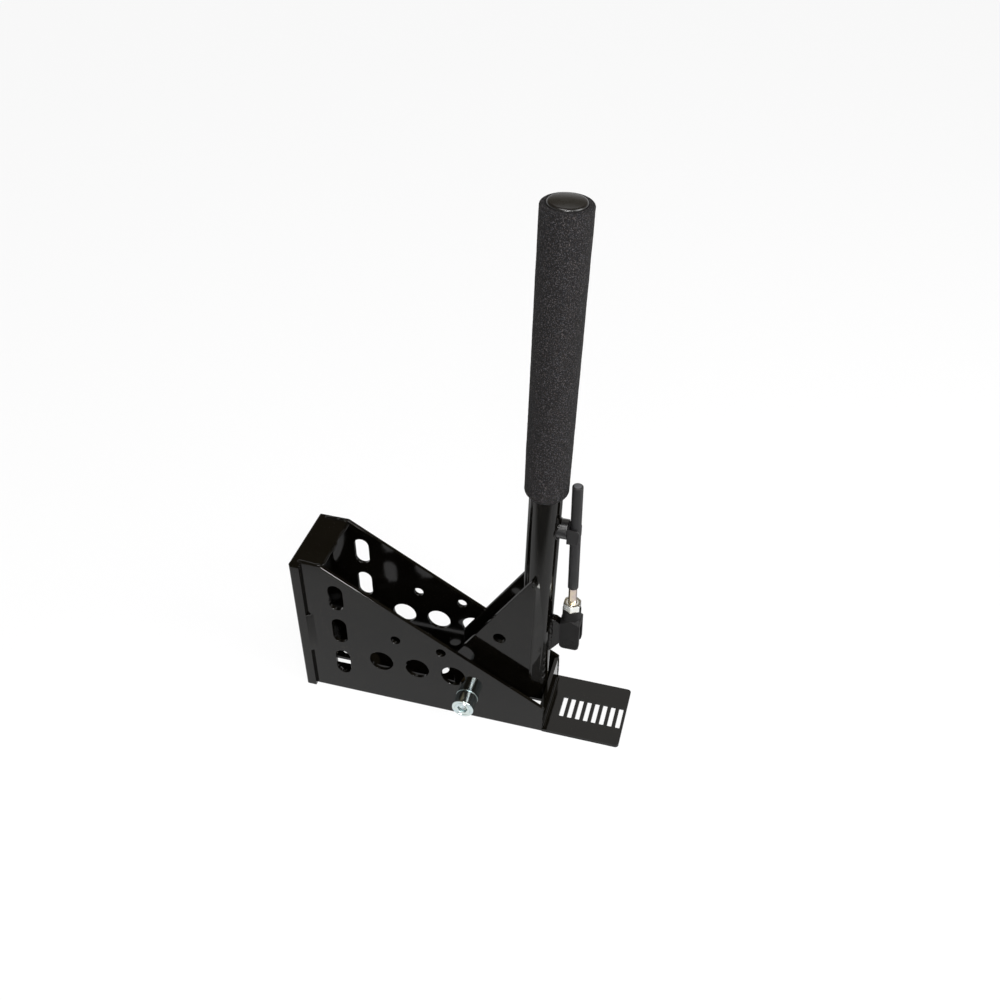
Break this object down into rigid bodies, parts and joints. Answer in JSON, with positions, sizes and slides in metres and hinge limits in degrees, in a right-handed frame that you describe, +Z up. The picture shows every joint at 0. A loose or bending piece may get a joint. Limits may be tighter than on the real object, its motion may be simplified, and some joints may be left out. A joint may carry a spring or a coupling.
{
  "type": "parking brake lever",
  "caption": "Upright parking brake lever with a foam grip on a wedge-shaped sheet-steel base with floor flanges, a cross pivot bolt, a slotted foot and a folding lock strut behind the tube.",
  "frame": {"origin": "middle of the footprint on the floor", "axes": "+X from the tall end to the foot, +Y across to the side away from the bolt's head, +Z up"},
  "size_m": [0.28, 0.092, 0.4624],
  "materials": {
    "gloss_coat": "gloss black powder coat",
    "satin_black": "satin black coating",
    "zinc_plate": "bright zinc plating",
    "bush_bronze": "plain sintered bronze",
    "grip_foam": "matte closed-cell foam",
    "plug_plastic": "polished black plastic",
    "sleeve_plastic": "satin black sleeve"
  },
  "bodies": {
    "base": {"side_plate_near": "gloss_coat", "side_plate_far": "gloss_coat", "end_channel": "gloss_coat", "foot_bracket": "gloss_coat", "pivot_bolt": "zinc_plate", "pivot_nut": "zinc_plate", "pivot_washer": "zinc_plate", "pivot_spacers": "zinc_plate"},
    "lever": {"lever_tube": "gloss_coat", "gusset_near": "gloss_coat", "gusset_far": "gloss_coat", "pivot_boss": "gloss_coat", "pivot_bushes": "bush_bronze", "foam_grip": "grip_foam", "grip_end_plug": "plug_plastic", "strut_lug": "gloss_coat", "clip_boss": "gloss_coat", "strut_clip": "satin_black", "clip_rivet": "zinc_plate", "clevis_pin": "satin_black"},
    "strut": {"strut_rod": "zinc_plate", "strut_sleeve": "sleeve_plastic", "strut_lock_nut": "zinc_plate", "clevis_fork": "satin_black"}
  },
  "joints": [
    {"name": "lever_pull", "type": "hinge", "parent": "base", "child": "lever", "pos_m": [0.0085, 0, 0.0245], "axis": [0, -1, 0], "range_deg": [0, 25]},
    {"name": "strut_fold", "type": "hinge", "parent": "lever", "child": "strut", "pos_m": [0.08854, 0, 0.088], "axis": [0, 1, 0], "range_deg": [0, 120]}
  ]
}
